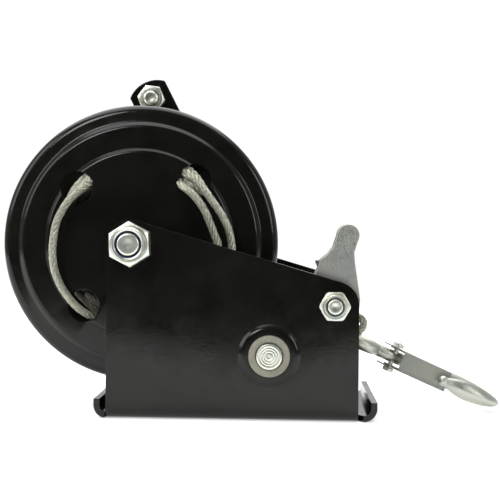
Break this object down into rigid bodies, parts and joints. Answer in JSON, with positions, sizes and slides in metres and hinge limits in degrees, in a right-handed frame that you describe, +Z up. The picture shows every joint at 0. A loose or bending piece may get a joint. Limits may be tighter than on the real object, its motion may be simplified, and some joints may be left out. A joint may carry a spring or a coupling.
{
  "type": "boat trailer winch",
  "caption": "Hand winch for a boat trailer: folded steel frame, geared cable drum, crank with turning grip, ratchet pawl and a snap hook on wire rope.",
  "frame": {"origin": "centre of the base's underside", "axes": "+X along the base towards the hook, +Y along the shafts towards the crank, +Z up from the base"},
  "size_m": [0.2549, 0.1838, 0.175],
  "materials": {
    "black_paint": "gloss black powder coat",
    "zinc_plate": "bright zinc plate",
    "plain_steel": "machined",
    "wire_rope": "galvanised strands",
    "bush_bronze": "matte sintered",
    "blue_nylon": "matte",
    "grip_plastic": "satin"
  },
  "bodies": {
    "winch_frame": {"frame": "black_paint", "drum_axle_bolt": "zinc_plate", "axle_nut": "zinc_plate", "axle_nut_insert": "blue_nylon", "pawl_bolt": "zinc_plate", "pawl_nut": "zinc_plate", "pawl_nut_insert": "blue_nylon", "pawl_spacer": "zinc_plate", "axle_spacer_near": "zinc_plate", "axle_spacer_far": "zinc_plate", "pinion_bush_near": "bush_bronze", "pinion_bush_far": "bush_bronze", "cable_tail": "wire_rope", "cable_eye": "wire_rope", "ferrule": "plain_steel"},
    "drum": {"drum_flange": "black_paint", "drum_gear": "black_paint", "drum_core": "black_paint", "drum_sleeve": "bush_bronze", "cable_winding": "wire_rope", "cable_lacing_left": "wire_rope", "cable_lacing_inner": "wire_rope", "cable_lacing_outer": "wire_rope", "anchor_plate": "zinc_plate", "anchor_bolt_left": "zinc_plate", "anchor_bolt_right": "zinc_plate"},
    "crank": {"pinion_shaft": "zinc_plate", "pinion_gear": "plain_steel", "ratchet_wheel": "plain_steel", "shaft_spacer": "zinc_plate", "arm_spacer": "zinc_plate", "crank_arm": "black_paint", "crank_nut": "zinc_plate", "grip_nut": "zinc_plate", "grip_bolt": "zinc_plate"},
    "turning_grip": {"grip": "grip_plastic"},
    "pawl": {"pawl_lever": "zinc_plate", "pawl_hub": "zinc_plate", "pawl_tooth": "plain_steel"},
    "snap_hook": {"hook": "zinc_plate", "latch_pin": "zinc_plate", "latch_spring_upper": "zinc_plate", "latch_spring_lower": "zinc_plate"},
    "hook_latch": {"latch": "zinc_plate"}
  },
  "joints": [
    {"name": "crank_spin", "type": "hinge", "parent": "winch_frame", "child": "crank", "pos_m": [0.01627, 0, 0.03146], "axis": [0, 1, 0], "continuous": true},
    {"name": "drum_spin", "type": "hinge", "parent": "winch_frame", "child": "drum", "pos_m": [-0.051, 0, 0.0844], "axis": [0, 1, 0], "continuous": true},
    {"name": "grip_spin", "type": "hinge", "parent": "crank", "child": "turning_grip", "pos_m": [-0.0525, 0.1, 0.1642], "axis": [0, 1, 0], "continuous": true},
    {"name": "pawl_tilt", "type": "hinge", "parent": "winch_frame", "child": "pawl", "pos_m": [0.0474, -0.034, 0.0559], "axis": [0, -1, 0], "range_deg": [-25, 7.5]},
    {"name": "hook_swing", "type": "hinge", "parent": "winch_frame", "child": "snap_hook", "pos_m": [0.0522, 0, 0.0392], "axis": [0, -1, 0], "range_deg": [-20, 60]},
    {"name": "latch_swing", "type": "hinge", "parent": "snap_hook", "child": "hook_latch", "pos_m": [0.07962, 0, 0.02728], "axis": [0.3987, 0, 0.9171], "range_deg": [0, 18], "stiffness_Nm_per_rad": 0.05, "springref_deg": -11.46}
  ],
  "couplings": [
    {"joint": "drum_spin", "follows": "crank_spin", "ratio": -0.29545}
  ]
}
